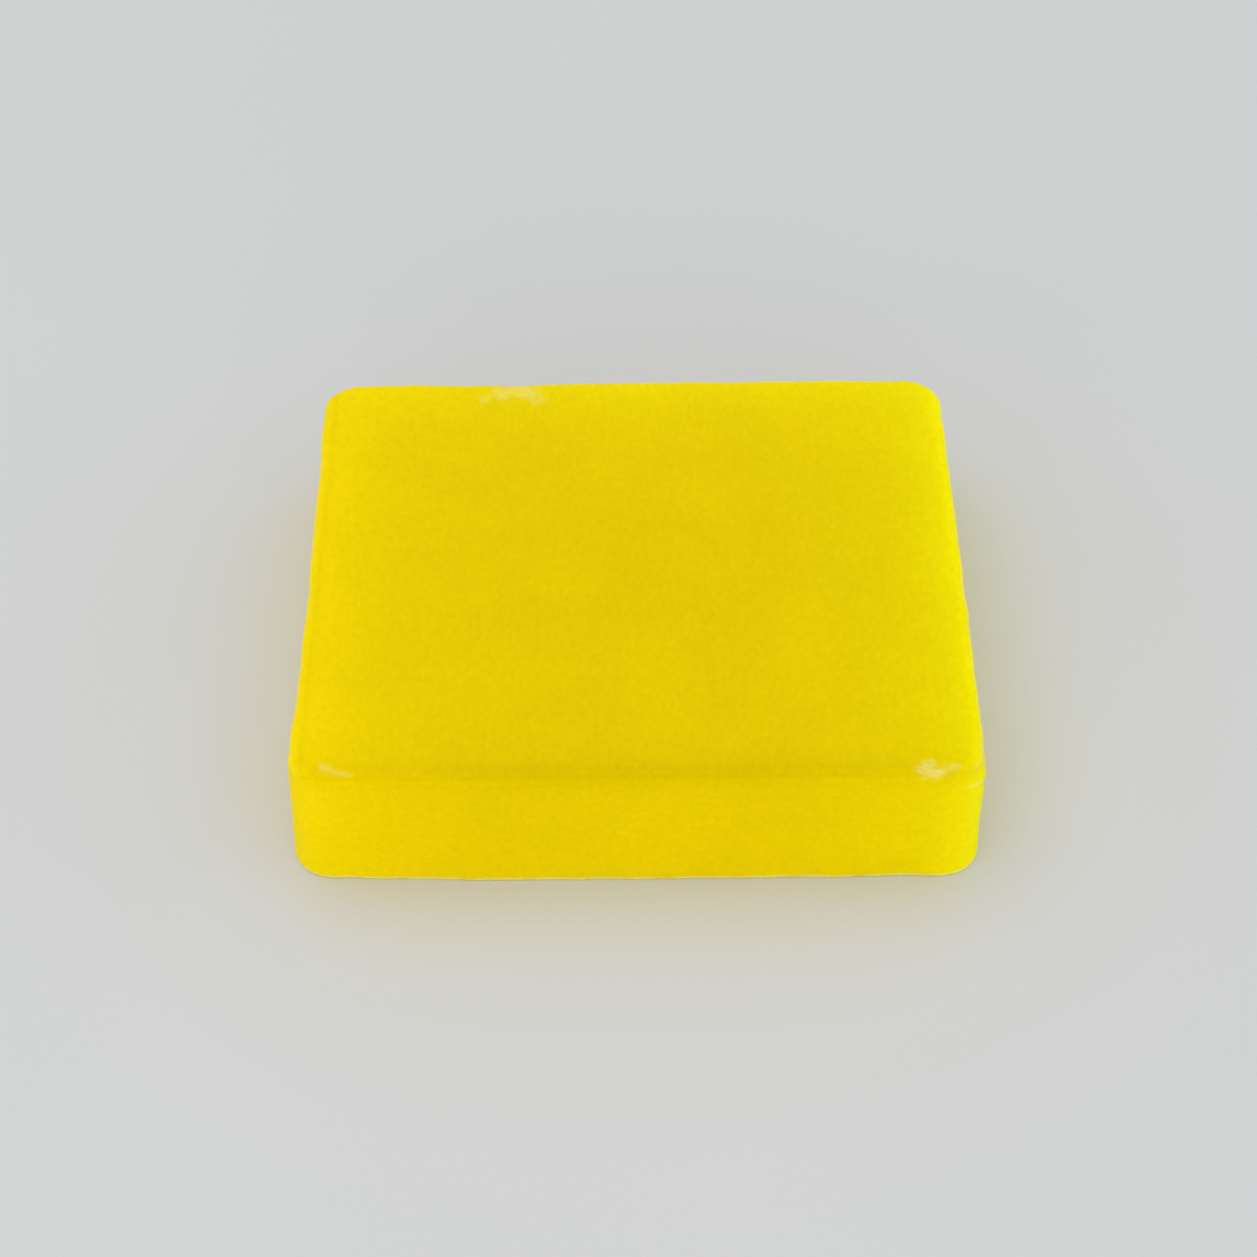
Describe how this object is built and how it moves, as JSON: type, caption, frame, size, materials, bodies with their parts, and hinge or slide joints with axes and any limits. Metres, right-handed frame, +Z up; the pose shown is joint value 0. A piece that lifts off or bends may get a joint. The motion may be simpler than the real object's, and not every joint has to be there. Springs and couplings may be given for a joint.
{
  "type": "raised pavement marker",
  "caption": "Plain yellow raised pavement marker: a rectangular translucent shell with rounded corners, filled with sand-filled resin and gritted underneath for bonding to a road.",
  "frame": {"origin": "centre of the base, on the plane of the shell's rim, which rests on the road", "axes": "+X across the traffic lane, along the longer side; +Y along the lane; +Z up, out of the road"},
  "size_m": [0.1, 0.091, 0.0205],
  "materials": {
    "shell_plastic": "satin",
    "sand_filled_resin": "matte",
    "coarse_sand": "matte"
  },
  "bodies": {
    "root": {"body_shell": "shell_plastic", "potting_fill": "sand_filled_resin", "base_grit": "coarse_sand"}
  },
  "joints": []
}
